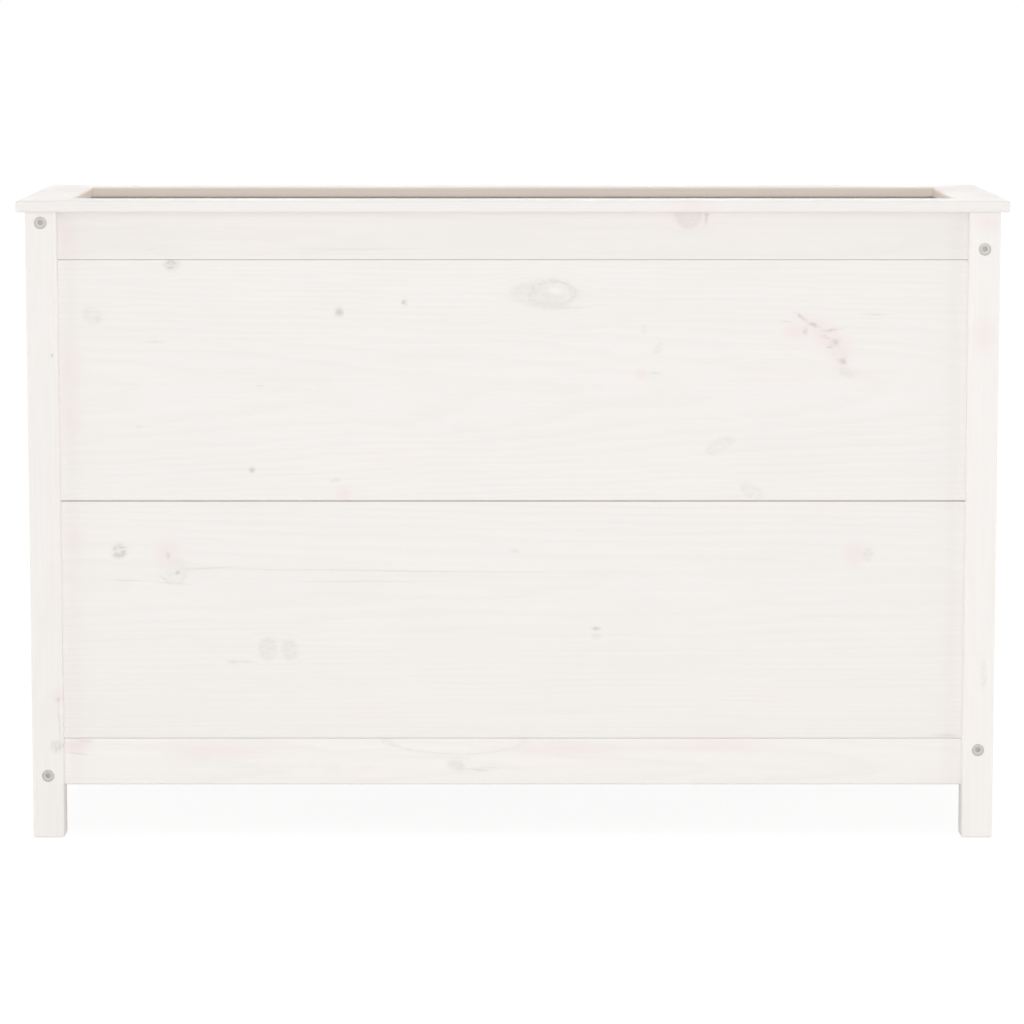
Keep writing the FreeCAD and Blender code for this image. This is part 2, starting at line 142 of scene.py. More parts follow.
# Marks of these kinds push the grain aside, if they are wider than this and tilted less
GRAIN_BENDERS = ("ring", "dead", "faint", "smoke", "rose")
BENDING_HALF_WIDTH = 3.9
BENDING_TILT = 30
# Marks run this deep into the wood, which is right through every piece
MARK_DEPTH = 1e6
# Share of a mark's cover that the stain takes back in patches
BROKEN_COVER = {
    "ring": 0.7, "smoke": 0.55, "dead": 0.8, "stroke": 0.6,
    "rose": 0.3, "faint": 0.6, "hoop": 0.6, "line": 0.3,
}

# The marks seen on the front: kind, millimetres along and across from the middle of the piece's face,
# half length and half width, tilt in degrees
MARKS = {
    "upper_board_front": [
        ("smoke", 30, 104, 30, 13, -8), ("ring", 48, 106, 27, 15, 0), ("smoke", 43, 92, 20, 4, 2),
        ("core", 51, 109, 10, 5, 0), ("line", 70, 107, 2.5, 9, 8), ("line", 75, 105, 2, 7, 8),
        ("line", 63, 87, 26, 1.2, 2), ("pink", 341, 61, 13, 11, 0), ("pink", 393, 40, 22, 16, -50),
        ("pink", 375, 58, 30, 15, -38), ("faint", 395, 32, 11, 7, -55), ("stroke", 349, 77, 9.5, 2.2, -38),
        ("stroke", 363, 68, 8, 2.2, -24), ("stroke", 354, 60, 3.4, 4.6, 0), ("stroke", 384, 61, 12, 1.8, 9),
        ("stroke", 378, 53, 6, 2, -20), ("stroke", 389, 46, 7, 4.2, 20), ("stroke", 384, 41, 3, 2, 0),
        ("stroke", 399, 23, 5.4, 4.2, 0), ("smoke", 404, 10, 9, 5, -20), ("line", 330, 71, 8, 1.2, -4),
        ("line", 440, 79, 16, 1.0, 0), ("smoke", -412, 141, 9.5, 7.5, 0), ("dead", -413, 141, 6, 5, 0),
        ("pin", -210, 83, 4.2, 5, 0), ("pin", -131, 95, 2.8, 3.2, 0), ("pin", -317, -109, 3.2, 3.0, 0),
        ("faint", -508, 79, 11, 9, -30), ("smoke", -504, 75, 4.5, 2.6, 0), ("faint", 250, -80, 15, 7, 30),
        ("faint", 262, -73, 8, 3, -10), ("faint", 159, 62, 3, 4, 0), ("faint", 176, 39, 4, 7, -40),
        ("line", 172, 10, 8, 1.8, 0), ("pink", 156, 8, 7, 6, 0), ("pink", -206, -138, 8, 8, 0),
        ("smoke", -215, -122, 5.5, 2.4, 0), ("faint", 290, -135, 14, 7, -35), ("blush", -538, 16, 11, 26, 0),
        ("blush", -538, -45, 11, 26, 0), ("line", -434, 48, 15, 0.9, 0), ("line", -453, -55, 6, 0.9, 0),
        ("line", -307, -6, 6, 0.9, 0),
    ],
    "lower_board_front": [
        ("dead", -479, 84, 7.5, 7, 0), ("pink", -421, 82, 15, 15, 0), ("stroke", -420, 79, 2.6, 3.8, 20),
        ("faint", -409, 60, 12, 13, 0), ("pin", -408, 58, 2.6, 2.4, 0), ("line", -416, 45, 20, 1.6, -3),
        ("line", -424, 50, 9, 1.6, -30), ("line", -153, 60, 245, 1.2, -1.0), ("line", -186, 47, 85, 0.9, 0.3),
        ("line", -372, 64, 40, 1.6, 3), ("line", -470, 48, 28, 0.8, -1), ("smoke", -299, -36, 10.5, 13, 0),
        ("smoke", -273, -37, 9, 12.5, 8), ("line", -341, -52, 8, 2.4, 2), ("line", -326, -52, 10, 1.2, 0),
        ("pin", 102, -11, 4.2, 2.4, 0), ("smoke", 102, -20, 5.5, 2.6, 0), ("pink", 417, 80, 15, 13, 0),
        ("smoke", 432, 80, 6, 7.5, 0), ("smoke", 3, 85, 4.5, 2.6, 0), ("line", 531, -143, 18, 2.4, 0),
        ("blush", -534, 100, 11, 15, 0),
    ],
    "bottom_rail_front": [
        ("smoke", -70, -4, 9, 5, -8), ("smoke", -64, -8, 5, 4, 0), ("line", -42, -9, 14, 1.8, -6),
        ("line", -28, -6, 12, 1.0, 0), ("hoop", -70, 27, 87, 17, 0), ("stroke", -524, 25, 8, 3, 0),
        ("pink", -534, 19, 14, 8, 0), ("line", -533, 10, 14, 1.2, -9), ("blush", -354, 14, 52, 9, 0),
        ("blush", 66, 16, 62, 8, 0), ("blush", 250, 20, 60, 6, 0),
    ],
    "top_rail_front": [
        ("pink", 214, 26, 27, 14, 0), ("rose", 212, 26, 15, 17, 0), ("stroke", 234, 24, 2.2, 11, -8),
        ("line", -185, -16, 85, 0.8, 0), ("line", -437, -16, 11, 0.8, 0), ("blush", -538, -4, 12, 22, 0),
    ],
    "leg_front_left": [
        ("smoke", -270, -11, 7, 7, 0), ("dead", -269, -12, 5, 6, 0), ("pink", -208, -14, 11, 8, 0),
        ("stroke", -211, -14, 2.6, 3.2, 0), ("line", -240, -15, 26, 1.6, 2), ("pin", 210, -12, 2.0, 1.7, 0),
    ],
    "leg_front_right": [
        ("blush", 371, -4, 12, 14, 0), ("blush", 234, 0, 18, 11, 0), ("faint", -180, -6, 14, 3, 0),
    ],
    "rim_front": [("blush", 214, -31, 24, 8, 0), ("faint", 420, 8, 12, 7, 5)],
}

# Knots on the other pieces: the kinds, as often as they fall, their usual sizes in millimetres, and the
# square millimetres of a quarter of the face that go with each knot
KNOT_KINDS = ("ring", "smoke", "dead", "dead", "pin", "pin", "faint", "faint")
KNOT_SIZES = {"ring": 15, "smoke": 10, "dead": 6, "pin": 3.0, "faint": 10}
QUARTER_FACE_PER_KNOT = 9000

# Tones of the stain, where it is at its thinnest and thickest on a piece
STAIN_TONES = {"thin": ("F1EDEA", "F4F1EE"), "even": ("F3EFEC", "F6F3F0"), "full": ("F6F2EF", "F9F6F3")}
# Pieces whose stain shows in the photo. On the others it falls by chance.
SEEN_STAIN = {
    "rim_front": "even", "rim_left": "thin", "rim_right": "thin", "rim_back": "full",
    "top_rail_front": "thin", "upper_board_front": "even", "lower_board_front": "even",
    "bottom_rail_front": "full", "leg_front_left": "even", "leg_front_right": "full",
}

# Growth rings from one spring to the next: place, how much the late wood shows
LATE_WOOD = [
    (0.0, (0.0, 0.0, 0.0, 1.0)), (0.45, (0.12, 0.12, 0.12, 1.0)), (0.86, (1.0, 1.0, 1.0, 1.0)),
    (0.97, (0.1, 0.1, 0.1, 1.0)),
]
# Width of the arrises that hands and weather rub
ARRIS = 1.8


def seeded_marks(piece, half_along, half_across):
    """Knots for a piece that the photo doesn't show, spread by chance but always the same for one piece."""
    chance = random.Random(piece)
    count = max(1, round(half_along * half_across / QUARTER_FACE_PER_KNOT))
    marks = []
    for knot in range(count):
        along = chance.uniform(-0.94, 0.94) * half_along
        across = chance.uniform(-0.85, 0.85) * half_across
        kind = chance.choice(KNOT_KINDS)
        size = min(KNOT_SIZES[kind] * chance.uniform(0.7, 1.3), half_across * 0.6)
        stretch = chance.uniform(1.0, 1.8)
        tilt = chance.uniform(-12, 12)
        if kind in ("ring", "dead") and chance.random() < 0.5:
            marks.append(("pink", along, across, size * stretch * 1.7, size * 1.5, tilt))
        marks.append((kind, along, across, size * stretch, size * 0.8, tilt))
        if kind == "ring":
            marks.append(("core", along + 0.2 * size, across, size * stretch * 0.4, size * 0.35, tilt))
    return marks


def growth(piece, half):
    """What chance gives a piece, always the same for it: noise offset, pith, slope of grain, stain tones."""
    chance = random.Random("growth of " + piece)
    offset = [chance.uniform(-4000, 4000) for axis in range(3)]
    pith = (0, chance.uniform(-0.5, 0.5) * half[1], -chance.uniform(55, 120) - 0.6 * half[1])
    slope = (0, math.radians(chance.uniform(-1.1, 1.1)), math.radians(chance.uniform(-0.5, 0.5)))
    stain = SEEN_STAIN.get(piece) or chance.choice(list(STAIN_TONES))
    return offset, pith, slope, STAIN_TONES[stain]


def streaks(tree, wood, width, stretch, detail, roughness=0.5):
    """Noise of a width in millimetres across the grain, and longer than wide by 1 / stretch."""
    run = node(tree, "Mapping", {"Vector": wood, "Scale": (stretch, 1, 1)})
    return node(tree, "TexNoise", {"Vector": run, "Scale": 1 / width, "Detail": detail,
                                   "Roughness": roughness})


def shaken(tree, wood, noise, reach):
    """Millimetres in the wood, shaken by a noise by up to half the reach each way."""
    step = node(tree, "VectorMath", {0: noise.outputs[1], 1: (0.5, 0.5, 0.5)}, operation="SUBTRACT")
    return node(tree, "VectorMath", {0: step, 1: reach, 2: wood}, operation="MULTIPLY_ADD")


def lay_marks(tree, marks, bent, ragged):
    """Each mark as a stretched distance from its middle, which also pulls the grain lines round it.

    Returns the kinds and distances, the grain after the pull, and how near the pulling marks are, if any.
    """
    distances = []
    pull = near = None
    for kind, along, across, half_length, half_width, tilt in marks:
        mark = node(tree, "Mapping", {
            "Vector": bent if kind in GRAIN_FOLLOWERS else ragged, "Location": (along, across, 0),
            "Rotation": (0, 0, math.radians(tilt)), "Scale": (2 * half_length, 2 * half_width, MARK_DEPTH),
        }, vector_type="TEXTURE")
        distance = node(tree, "VectorMath", {0: mark}, operation="LENGTH").outputs["Value"]
        distances.append((kind, distance))
        if kind in GRAIN_BENDERS and half_width > BENDING_HALF_WIDTH and abs(tilt) < BENDING_TILT:
            hold = node(tree, "MapRange", {"Value": distance, "From Max": 1.4, "To Min": 0.85, "To Max": 0.0},
                        interpolation_type="SMOOTHSTEP")
            side = node(tree, "SeparateXYZ", {0: mark}).outputs["Y"]
            step = node(tree, "Math", {0: side, 1: hold}, operation="MULTIPLY")
            step = node(tree, "Math", {0: step, 1: -2.0 * half_width}, operation="MULTIPLY")
            pull = node(tree, "Math", {0: step, 1: pull}, operation="ADD") if pull else step
            near = node(tree, "Math", {0: hold, 1: near}, operation="MAXIMUM") if near else hold
    if pull:
        pull = node(tree, "CombineXYZ", {"Y": pull})
        bent = node(tree, "VectorMath", {0: bent, 1: pull}, operation="ADD")
    return distances, bent, near


def growth_rings(tree, bent, pith, slope, spacing):
    """Growth rings about a pith behind the face: pale early wood, then a darker line of late wood."""
    log = node(tree, "Mapping", {"Vector": bent, "Location": pith, "Rotation": slope}, vector_type="TEXTURE")
    # At scale 1 the rings stand a tenth of pi apart
    rings = node(tree, "TexWave", {
        "Vector": log, "Scale": 0.1 * math.pi / spacing, "Distortion": 1.2,
        "Detail": 1.0, "Detail Scale": 0.6,
    }, wave_type="RINGS", rings_direction="X", wave_profile="SAW").outputs["Fac"]
    return node(tree, "ValToRGB", {"Fac": rings}, stops=LATE_WOOD)


def paint_marks(tree, tone, distances, elsewhere):
    """The marks' tones over the stain, which holds or breaks over a knot in patches of about 4 mm."""
    patches = streaks(tree, elsewhere, width=3.5, stretch=0.55, detail=2.0)
    for kind, distance in distances:
        stops = [(reach / 2, linear(colour)[:3] + [share]) for reach, colour, share in MARK_TONES[kind]]
        ramp = node(tree, "ValToRGB", {"Fac": distance}, stops=stops)
        held = ramp.outputs["Alpha"]
        if kind in BROKEN_COVER:
            kept = node(tree, "MapRange", {"Value": patches, "From Min": 0.4, "From Max": 0.58,
                                           "To Min": 1 - BROKEN_COVER[kind]})
            held = node(tree, "Math", {0: held, 1: kept}, operation="MULTIPLY")
        tone = node(tree, "Mix", {0: held, 6: tone.outputs[2], 7: ramp.outputs["Color"]}, data_type="RGBA")
    return tone


def rub_arrises(tree, tone, wood, half):
    """Stain rubbed thin along the arrises: near two of the piece's faces at once."""
    past = node(tree, "VectorMath", {0: wood}, operation="ABSOLUTE")
    past = node(tree, "VectorMath", {0: past, 1: [side - ARRIS for side in half]}, operation="SUBTRACT")
    past = node(tree, "VectorMath", {0: past, 1: [1 / ARRIS] * 3}, operation="MULTIPLY")
    past = node(tree, "VectorMath", {0: past, 1: (0, 0, 0)}, operation="MAXIMUM")
    past = node(tree, "VectorMath", {0: past, 1: (1, 1, 1)}, operation="DOT_PRODUCT").outputs["Value"]
    rubbed = node(tree, "MapRange", {"Value": past, "From Min": 1.0, "From Max": 1.9, "To Max": 0.35})
    return node(tree, "Mix", {0: rubbed, 6: tone.outputs[2], 7: linear("E9E2DC")}, data_type="RGBA")


def paint_inside_shade(tree, tone, place, inside):
    """Warmer tint on the faces inside the bed, above the underside of its floor: painted warm shade of the
    bed's inside.
    """
    edges = Vector((*inside, -FLOOR_UNDERSIDE)) * MM
    inner = node(tree, "VectorMath", {0: place}, operation="ABSOLUTE")
    inner = node(tree, "VectorMath", {0: inner, 1: (1, 1, -1), 2: -edges}, operation="MULTIPLY_ADD")
    inner = node(tree, "SeparateXYZ", {0: inner}).outputs
    outermost = node(tree, "Math", {0: inner["X"], 1: inner["Y"]}, operation="MAXIMUM")
    outermost = node(tree, "Math", {0: outermost, 1: inner["Z"]}, operation="MAXIMUM")
    # How much of the painted warm shade a face takes: all of it inside the bed, none outside
    inside_shade_share = node(tree, "MapRange", {"Value": outermost, "From Min": -1 * MM, "From Max": 0.0,
                                      "To Min": 1.0, "To Max": 0.0})
    return node(tree, "Mix", {0: inside_shade_share, 6: tone.outputs[2], 7: linear("FFFAF4")},
                data_type="RGBA", blend_type="MULTIPLY")


def stained_pine(piece, along, across, grain, ring_spacing=4.0, tongue=0.0, inside=(LEG_X, LEG_Y)):
    """Planed knotty pine under a thin white stain.

    The stain hides most of the wood: growth rings, fibres and knots show through by a few tones only, a
    little darker where late wood and knots take less white, and rosy round live knots. Satin, with a faint
    raised grain. Grain is how far late wood darkens the stain. A tongue on the upper edge doesn't count as
    part of the face. What lies nearer the bed's middle than inside, in millimetres along X and Y, gets a
    warmer tint: painted warm shade of the bed's inside.
    """
    low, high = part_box(piece)
    high = high - tongue * MM * Z
    deep = along.cross(across)
    half = [abs((high - low).dot(axis)) / 2 / MM for axis in (along, across, deep)]
    marks = MARKS[piece] if piece in MARKS else seeded_marks(piece, half[0], half[1])
    offset, pith, slope, (thinnest, thickest) = growth(piece, half)

    material, tree = blank_material("white_stained_pine_" + piece)
    place = node(tree, "TexCoord").outputs["Object"]
    turn = Matrix((along, across, deep)).transposed().to_euler()
    # Millimetres along the grain, across it and out of the face
    wood = node(tree, "Mapping", {"Vector": place, "Location": (low + high) / 2, "Rotation": turn,
                                  "Scale": (MM, MM, MM)}, vector_type="TEXTURE")
    elsewhere = node(tree, "VectorMath", {0: wood, 1: offset}, operation="ADD")
    # Slow sideways wander of the grain, over about 40 mm across and 250 mm along
    wander = streaks(tree, elsewhere, width=40, stretch=0.16, detail=2.0)
    bent = shaken(tree, wood, wander, (0, 9, 9))
    # Ragged knot outlines, uneven over about 6 mm
    fray = node(tree, "TexNoise", {"Vector": elsewhere, "Scale": 1 / 6, "Detail": 2.0})
    ragged = shaken(tree, wood, fray, (6, 5, 0))
    distances, bent, near = lay_marks(tree, marks, bent, ragged)
    late_wood = growth_rings(tree, bent, pith, slope, ring_spacing)
    # Fibres, drawn about 2 mm wide so that they show
    fibres = streaks(tree, elsewhere, width=2.2, stretch=0.012, detail=3.0, roughness=0.6)
    # Stain cover, uneven over about 70 mm across and 200 mm along
    cover = streaks(tree, elsewhere, width=70, stretch=0.35, detail=3.0)

    tone = node(tree, "Mix", {0: cover, 6: linear(thinnest), 7: linear(thickest)}, data_type="RGBA")
    blush = node(tree, "MapRange", {"Value": cover, "From Min": 0.56, "From Max": 0.75, "To Max": 0.15})
    tone = node(tree, "Mix", {0: blush, 6: tone.outputs[2], 7: linear("F4E9E6")}, data_type="RGBA")
    show = node(tree, "Math", {0: late_wood, 1: grain}, operation="MULTIPLY")
    if near:
        closer = node(tree, "MapRange", {"Value": near, "To Min": 1.0, "To Max": 3.0})
        show = node(tree, "Math", {0: show, 1: closer}, operation="MULTIPLY")
    tone = node(tree, "Mix", {0: show, 6: tone.outputs[2], 7: linear("D6CCC4")}, data_type="RGBA")
    streak = node(tree, "MapRange", {"Value": fibres, "From Min": 0.45, "From Max": 0.8, "To Max": 0.18})
    tone = node(tree, "Mix", {0: streak, 6: tone.outputs[2], 7: linear("E4DCD5")}, data_type="RGBA")
    tone = paint_marks(tree, tone, distances, elsewhere)
    tone = rub_arrises(tree, tone, wood, half)
    # Painted warm shade on the faces inside the bed
    tone = paint_inside_shade(tree, tone, place, inside)

    sheen = node(tree, "MapRange", {"Value": cover, "From Min": 0.3, "From Max": 0.7,
                                    "To Min": 0.62, "To Max": 0.5})
    relief = node(tree, "Math", {0: fibres, 1: late_wood}, operation="ADD")
    bump = node(tree, "Bump", {"Strength": 0.3, "Distance": 0.1 * MM, "Height": relief})
    shader = node(tree, "BsdfPrincipled", {"Base Color": tone.outputs[2], "Roughness": sheen, "IOR": 1.5,
                                           "Specular IOR Level": 0.25, "Normal": bump})
    node(tree, "OutputMaterial", {"Surface": shader})
    return material


def zinc_plated_steel():
    """Zinc plated steel: grey and satin, a little cloudy from the plating bath."""
    material, tree = blank_material("zinc_plated_steel")
    place = node(tree, "TexCoord").outputs["Object"]
    # Clouds of 3 mm, and the plating's grit, drawn 0.4 mm wide
    cloud = node(tree, "TexNoise", {"Vector": place, "Scale": 1 / (3 * MM), "Detail": 3.0})
    grit = node(tree, "TexNoise", {"Vector": place, "Scale": 1 / (0.4 * MM), "Detail": 2.0})
    tone = node(tree, "Mix", {0: cloud, 6: linear("AFADAA"), 7: linear("C1BEBB")}, data_type="RGBA")
    rough = node(tree, "MapRange", {"Value": cloud, "From Min": 0.3, "From Max": 0.7,
                                    "To Min": 0.56, "To Max": 0.66})
    bump = node(tree, "Bump", {"Strength": 0.2, "Distance": 0.03 * MM, "Height": grit})
    shader = node(tree, "BsdfPrincipled", {"Base Color": tone.outputs[2], "Metallic": 1.0, "Roughness": rough,
                                           "Normal": bump})
    node(tree, "OutputMaterial", {"Surface": shader})
    return material


def turned_beech():
    """Bare turned beech dowel: warm tan with small darker flecks."""
    material, tree = blank_material("turned_beech")
    place = node(tree, "TexCoord").outputs["Object"]
    # Flecks of 1.5 mm
    flecks = node(tree, "TexNoise", {"Vector": place, "Scale": 1 / (1.5 * MM), "Detail": 3.0})
    tone = node(tree, "Mix", {0: flecks, 6: linear("C9A37C"), 7: linear("E0C19C")}, data_type="RGBA")
    bump = node(tree, "Bump", {"Strength": 0.3, "Distance": 0.05 * MM, "Height": flecks})
    shader = node(tree, "BsdfPrincipled", {"Base Color": tone.outputs[2], "Roughness": 0.6, "Normal": bump})
    node(tree, "OutputMaterial", {"Surface": shader})
    return material


def dress(piece, material):
    """Gives a CAD node its material."""
    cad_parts[piece].data.materials.clear()
    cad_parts[piece].data.materials.append(material)


WALL_RUN = {"front": X, "right": Y, "back": -X, "left": -Y}
# How far late wood darkens the stain on each kind of piece
PLANK_GRAIN = {"top_rail": 0.065, "upper_board": 0.055, "lower_board": 0.055, "bottom_rail": 0.08}
RIM_GRAIN = 0.08
LEG_GRAIN = 0.045
FLOOR_GRAIN = 0.15
# The painted warm shade of the inside goes this far over the rim's rounded inner edge
INSIDE_SHADE_OVER_EDGE = 2.5
RIM_INSIDE = (RIM_INSIDE_X + INSIDE_SHADE_OVER_EDGE, RIM_INSIDE_Y + INSIDE_SHADE_OVER_EDGE)

for side, run in WALL_RUN.items():
    for plank, grain in PLANK_GRAIN.items():
        name = f"{plank}_{side}"
        tongue = 0.0 if plank == "top_rail" else TONGUE_RISE
        dress(name, stained_pine(name, run, Z, grain, tongue=tongue))
    name = f"rim_{side}"
    dress(name, stained_pine(name, run, Z.cross(run), RIM_GRAIN, ring_spacing=3.0, inside=RIM_INSIDE))
for corner in ("front_left", "front_right", "back_right", "back_left"):
    name = f"leg_{corner}"
    dress(name, stained_pine(name, Z, -X, LEG_GRAIN, ring_spacing=3.5))
for side in ("front", "back"):
    dress(f"floor_bearer_{side}", stained_pine(f"floor_bearer_{side}", X, Z, FLOOR_GRAIN))
    dress(f"centre_batten_{side}", stained_pine(f"centre_batten_{side}", Z, -X, FLOOR_GRAIN))
for number in range(1, SLAT_COUNT + 1):
    name = f"floor_slat_{number:02d}"
    dress(name, stained_pine(name, Y, -X, FLOOR_GRAIN))
dress("rail_dowels", turned_beech())
steel = zinc_plated_steel()
dress("barrel_nuts", steel)


def turned_shell(outline, steps):
    """Shell turned about Z from the (radius, height) points of its half section, in millimetres."""
    shell = bmesh.new()
    points = [shell.verts.new((radius, 0, height)) for radius, height in outline]
    lines = [shell.edges.new(pair) for pair in zip(points, points[1:])]
    bmesh.ops.spin(shell, geom=points + lines, axis=Z, cent=(0, 0, 0), angle=2 * math.pi, steps=steps,
                   use_merge=True)
    bmesh.ops.remove_doubles(shell, verts=shell.verts[:], dist=0.001)
    return shell


def sink_recess(shell, corners, mouth, depth, narrowing):
    """Closes the opening in the top of a head with a driver's recess of this outline."""
    opening = [edge for edge in shell.edges if edge.is_boundary]
    points = [shell.verts.new((x, y, -mouth)) for x, y in corners]
    lines = [shell.edges.new(pair) for pair in zip(points, points[1:] + points[:1])]
    bmesh.ops.bridge_loops(shell, edges=opening + lines)
    grown = bmesh.ops.extrude_edge_only(shell, edges=lines)["geom"]
    bottom = [part for part in grown if isinstance(part, bmesh.types.BMVert)]
    bmesh.ops.scale(shell, verts=bottom, vec=(narrowing, narrowing, 1))
    bmesh.ops.translate(shell, verts=bottom, vec=(0, 0, mouth - depth))
    rim = [part for part in grown
           if isinstance(part, bmesh.types.BMEdge) and all(end in bottom for end in part.verts)]
    bmesh.ops.contextual_create(shell, geom=rim)
    bmesh.ops.recalc_face_normals(shell, faces=shell.faces[:])


def wind_thread(shell, radius, rise, pitch, top, turns, steps):
    """Winds a closed V ridge round a shank, downwards from a height, its root sunk into the shank."""
    root = radius - 0.2
    section = [(root, top), (radius + rise, top - pitch / 2), (root, top - pitch * 0.98)]
    points = [shell.verts.new((reach, 0, height)) for reach, height in section]
    start = shell.faces.new(points)
    bmesh.ops.spin(shell, geom=[start] + start.edges[:] + points, axis=Z, cent=(0, 0, 0),
                   dvec=(0, 0, -pitch / steps), angle=2 * math.pi * turns, steps=steps * turns)
    bmesh.ops.recalc_face_normals(shell, faces=shell.faces[:])


# Edges of fasteners that turn by more degrees than this stay crisp
CRISP_EDGE = 28


def fastener_group(name, shell, places, node_name):
    """Copies a fastener made along -Z to each place, a point in millimetres and the way its head faces."""
    single = bpy.data.meshes.new(name + "_single")
    shell.to_mesh(single)
    shell.free()
    together = bmesh.new()
    for point, facing in places:
        copy = single.copy()
        turn = facing.to_track_quat("Z", "Y").to_matrix().to_4x4()
        copy.transform(Matrix.Scale(MM, 4) @ Matrix.Translation(point) @ turn)
        together.from_mesh(copy)
        bpy.data.meshes.remove(copy)
    bpy.data.meshes.remove(single)
    mesh = bpy.data.meshes.new(name)
    together.to_mesh(mesh)
    together.free()
    mesh.shade_smooth()
    mesh.set_sharp_from_angle(angle=math.radians(CRISP_EDGE))
    mesh.materials.append(steel)
    piece = bpy.data.objects.new(name, mesh)
    bpy.context.scene.collection.objects.link(piece)
    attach(piece, "root")
    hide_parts(node_name)


def hexagon(across_flats):
    """Corners of a hexagon key's outline."""
    reach = across_flats / 3 ** 0.5
    return [(reach * math.cos(step * math.pi / 3), reach * math.sin(step * math.pi / 3)) for step in range(6)]


def cross(arm, width):
    """Corners of a cross driver's outline."""
    quarter = [(arm, -width), (arm, width), (width, width)]
    corners = []
    for turn in range(4):
        corners += quarter
        quarter = [(-y, x) for x, y in quarter]
    return corners


def connector_bolt():
    """Furniture bolt: wide flat head with an eased edge and a hexagon socket, smooth shank, threaded end."""
    head, shank = 7.2, 3.0
    under_head, end = -2.2, -62.2
    eased_edge = [(6.85, 0), (7.1, -0.08), (head, -0.3)]
    shell = turned_shell([(3.5, 0), *eased_edge, (head, under_head), (shank, under_head), (shank, -61.6),
                          (2.4, end), (0, end)], steps=36)
    sink_recess(shell, hexagon(5.0), mouth=0.25, depth=3.0, narrowing=0.98)
    wind_thread(shell, radius=2.9, rise=0.08, pitch=1.0, top=-34.0, turns=26, steps=12)
    return shell


def wood_screw(radius, length):
    """Countersunk wood screw with a cross recess, a plain neck, a coarse thread and a point."""
    head, core, neck = radius * 2, radius * 0.72, -0.4 - radius
    point, pitch = 5, 1.8
    shell = turned_shell([(head * 0.66, 0), (head - 0.12, 0), (head, -0.12), (head, -0.4), (radius, neck),
                          (core, neck - 0.5), (core, point - length), (0, -length)], steps=24)
    sink_recess(shell, cross(head * 0.56, head * 0.13), mouth=0.1, depth=head * 0.55, narrowing=0.55)
    turns = int((length - 2 * point) / pitch)
    wind_thread(shell, radius=core, rise=radius * 0.26, pitch=pitch, top=-4.0, turns=turns, steps=12)
    return shell


def turned_about_middle(point, degrees):
    """A point or direction turned about the bed's upright middle line."""
    return Matrix.Rotation(math.radians(degrees), 3, "Z") @ Vector(point)


# Turn of each wall from the front, half its length between the legs' middles, its distance from the middle
WALL_TURNS = {0: (LEG_X, LEG_Y), 90: (LEG_Y, LEG_X), 180: (LEG_X, LEG_Y), 270: (LEG_Y, LEG_X)}

bolt_places = []
for turn, (reach, distance) in WALL_TURNS.items():
    for level, middle in RAIL_MIDDLES.items():
        for end in (-1, 1):
            head = (end * (reach + LEG / 2), -distance, middle + level * end * STAGGER)
            bolt_places.append((turned_about_middle(head, turn), turned_about_middle(end * X, turn)))
fastener_group("connector_bolts", connector_bolt(), bolt_places, "leg_bolts")

slant = math.radians(POCKET_SLANT)
rim_places = []
for turn, (reach, distance) in WALL_TURNS.items():
    for along in LONG_RIM_SCREWS if reach == LEG_X else (0.0,):
        head = (along, WALL / 2 - POCKET_COVER - distance, LEG_TOP - RIM_SCREW_DEPTH)
        facing = (0, math.sin(slant), -math.cos(slant))
        rim_places.append((turned_about_middle(head, turn), turned_about_middle(facing, turn)))
fastener_group("countersunk_rim_screws", wood_screw(2.0, 25.0), rim_places, "rim_screws")

bearer_places = [(turned_about_middle((x, -BEARER_FACE, BEARER_MIDDLE), turn), turned_about_middle(Y, turn))
                 for turn in (0, 180) for x in BEARER_SCREWS]
fastener_group("countersunk_bearer_screws", wood_screw(2.0, 30.0), bearer_places, "bearer_screws")
batten_places = [(turned_about_middle((0, -BATTEN_FACE, z), turn), turned_about_middle(Y, turn))
                 for turn in (0, 180) for z in BATTEN_SCREW_HEIGHTS]
fastener_group("countersunk_batten_screws", wood_screw(2.0, 30.0), batten_places, "batten_screws")
slat_places = []
for number in range(SLAT_COUNT):
    x = (number - (SLAT_COUNT - 1) / 2) * SLAT_PITCH
    x = max(-SLAT_SCREW_REACH, min(SLAT_SCREW_REACH, x))
    slat_places += [(Vector((x, side * SLAT_SCREW_ACROSS, FLOOR_TOP)), Z) for side in (-1, 1)]
fastener_group("countersunk_slat_screws", wood_screw(1.75, 30.0), slat_places, "slat_screws")


def seen_rays(tree):
    """1 where the camera, a gloss or glass sees the surroundings, 0 where they only light the bed."""
    rays = node(tree, "LightPath").outputs
    seen = node(tree, "Math", {0: rays["Is Camera Ray"], 1: rays["Is Glossy Ray"]}, operation="MAXIMUM")
    return node(tree, "Math", {0: seen, 1: rays["Is Transmission Ray"]}, operation="MAXIMUM")


# Plain white floor and surroundings. The camera sees them as white, and the floor keeps a soft shadow.
FLOOR_REACH = 30.0
floor_mesh = bmesh.new()
bmesh.ops.create_grid(floor_mesh, x_segments=1, y_segments=1, size=FLOOR_REACH)
floor_data = bpy.data.meshes.new("studio_floor")
floor_mesh.to_mesh(floor_data)
floor_mesh.free()
floor = bpy.data.objects.new("studio_floor", floor_data)
bpy.context.scene.collection.objects.link(floor)
paper, tree = blank_material("white_studio_paper")
matt = node(tree, "BsdfDiffuse", {"Color": linear("FAFAFA")})
pale = node(tree, "BsdfDiffuse", {"Color": linear("7A7A7A")})
white = node(tree, "Emission", {"Color": linear("FFFFFF"), "Strength": 0.87})
lit = node(tree, "AddShader", {0: pale, 1: white})
both = node(tree, "MixShader", {0: seen_rays(tree), 1: matt, 2: lit})
node(tree, "OutputMaterial", {"Surface": both})
floor_data.materials.append(paper)

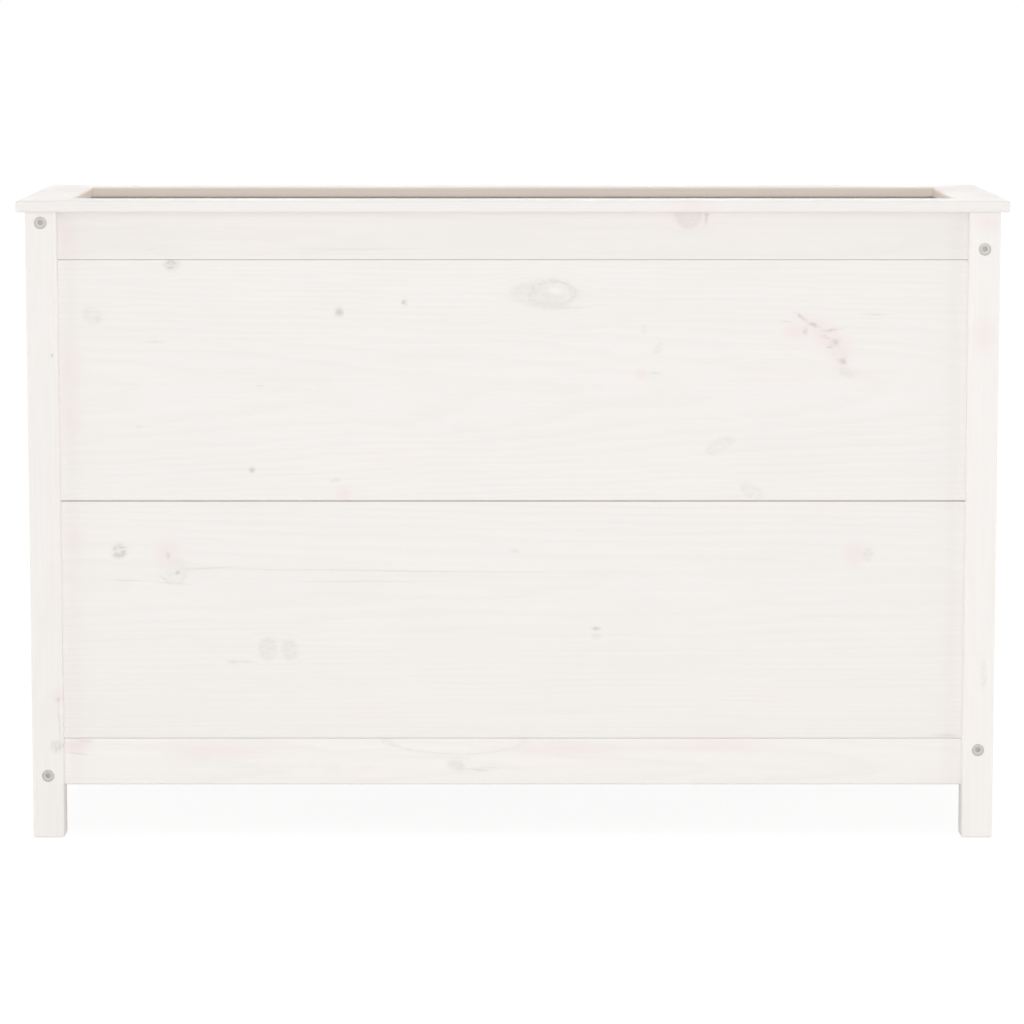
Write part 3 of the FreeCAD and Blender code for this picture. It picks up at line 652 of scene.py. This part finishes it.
world = bpy.data.worlds.new("studio")
bpy.context.scene.world = world
world.use_nodes = True
tree = world.node_tree
tree.nodes.clear()
soft = node(tree, "Background", {"Color": linear("FFFFFF"), "Strength": 0.31})
white = node(tree, "Background", {"Color": linear("FFFFFF"), "Strength": 1.0})
both = node(tree, "MixShader", {0: seen_rays(tree), 1: soft, 2: white})
node(tree, "OutputWorld", {"Surface": both})

# Far soft lamps: where the light comes from, share of a plain white's brightness, softness in degrees
FAR_LAMPS = {
    "top_lamp": ((0.0, -0.1, 1.0), 0.29, 90),
    "high_front_lamp": ((0.0, -0.9, 0.4), 0.125, 36),
    "high_right_lamp": ((0.9, 0.0, 0.4), 0.065, 36),
    "high_back_lamp": ((0.0, 0.9, 0.4), 0.095, 36),
    "high_left_lamp": ((-0.9, 0.0, 0.4), 0.065, 36),
    "front_left_lamp": ((-0.91, -0.42, 0.08), 0.095, 12),
    "front_right_lamp": ((0.91, -0.42, 0.08), 0.095, 12),
    "back_left_lamp": ((-0.91, 0.42, 0.08), 0.105, 12),
    "back_right_lamp": ((0.91, 0.42, 0.08), 0.105, 12),
}
for name, (source, share, softness) in FAR_LAMPS.items():
    lamp = bpy.data.lights.new(name, "SUN")
    lamp.energy = share * math.pi
    lamp.angle = math.radians(softness)
    stand = bpy.data.objects.new(name, lamp)
    stand.rotation_euler = Vector(source).to_track_quat("Z", "Y").to_euler()
    bpy.context.scene.collection.objects.link(stand)

# Level softboxes at about the camera's height, which light the walls up to the rim and the rim's inner edge:
# place, share of a plain white's brightness
SOFTBOXES = {
    "front_softbox": ((0.0, -4.6, 1.02), 0.165),
    "right_softbox": ((5.0, 0.0, 1.02), 0.078),
    "back_softbox": ((0.0, 4.6, 1.02), 0.18),
    "left_softbox": ((-5.0, 0.0, 1.02), 0.078),
}
SOFTBOX_WIDTH, SOFTBOX_HEIGHT = 3.0, 0.6
# The share holds this far from the bed's middle towards the softbox
BRIGHTNESS_POINT = 0.2
for name, (place, share) in SOFTBOXES.items():
    lamp = bpy.data.lights.new(name, "AREA")
    lamp.shape = "RECTANGLE"
    lamp.size, lamp.size_y = SOFTBOX_WIDTH, SOFTBOX_HEIGHT
    away = Vector((place[0], place[1], 0))
    lamp.energy = share * (math.pi * (away.length - BRIGHTNESS_POINT)) ** 2
    stand = bpy.data.objects.new(name, lamp)
    stand.location = place
    stand.rotation_euler = away.to_track_quat("Z", "Y").to_euler()
    stand.visible_camera = False
    bpy.context.scene.collection.objects.link(stand)

# Camera on the photo's side of the bed, a little above the rim, looking slightly down
CAMERA_PLACE = (-0.001, -5.238, 1.045)
CAMERA_DIP = 7.255
camera_data = bpy.data.cameras.new("camera")
camera_data.sensor_width = 36
camera_data.lens = 147.42
camera_data.clip_end = 100
camera = bpy.data.objects.new("camera", camera_data)
camera.location = CAMERA_PLACE
camera.rotation_euler = (math.radians(90 - CAMERA_DIP), 0, 0)
bpy.context.scene.collection.objects.link(camera)
bpy.context.scene.camera = camera
bpy.context.scene.view_settings.view_transform = "Standard"
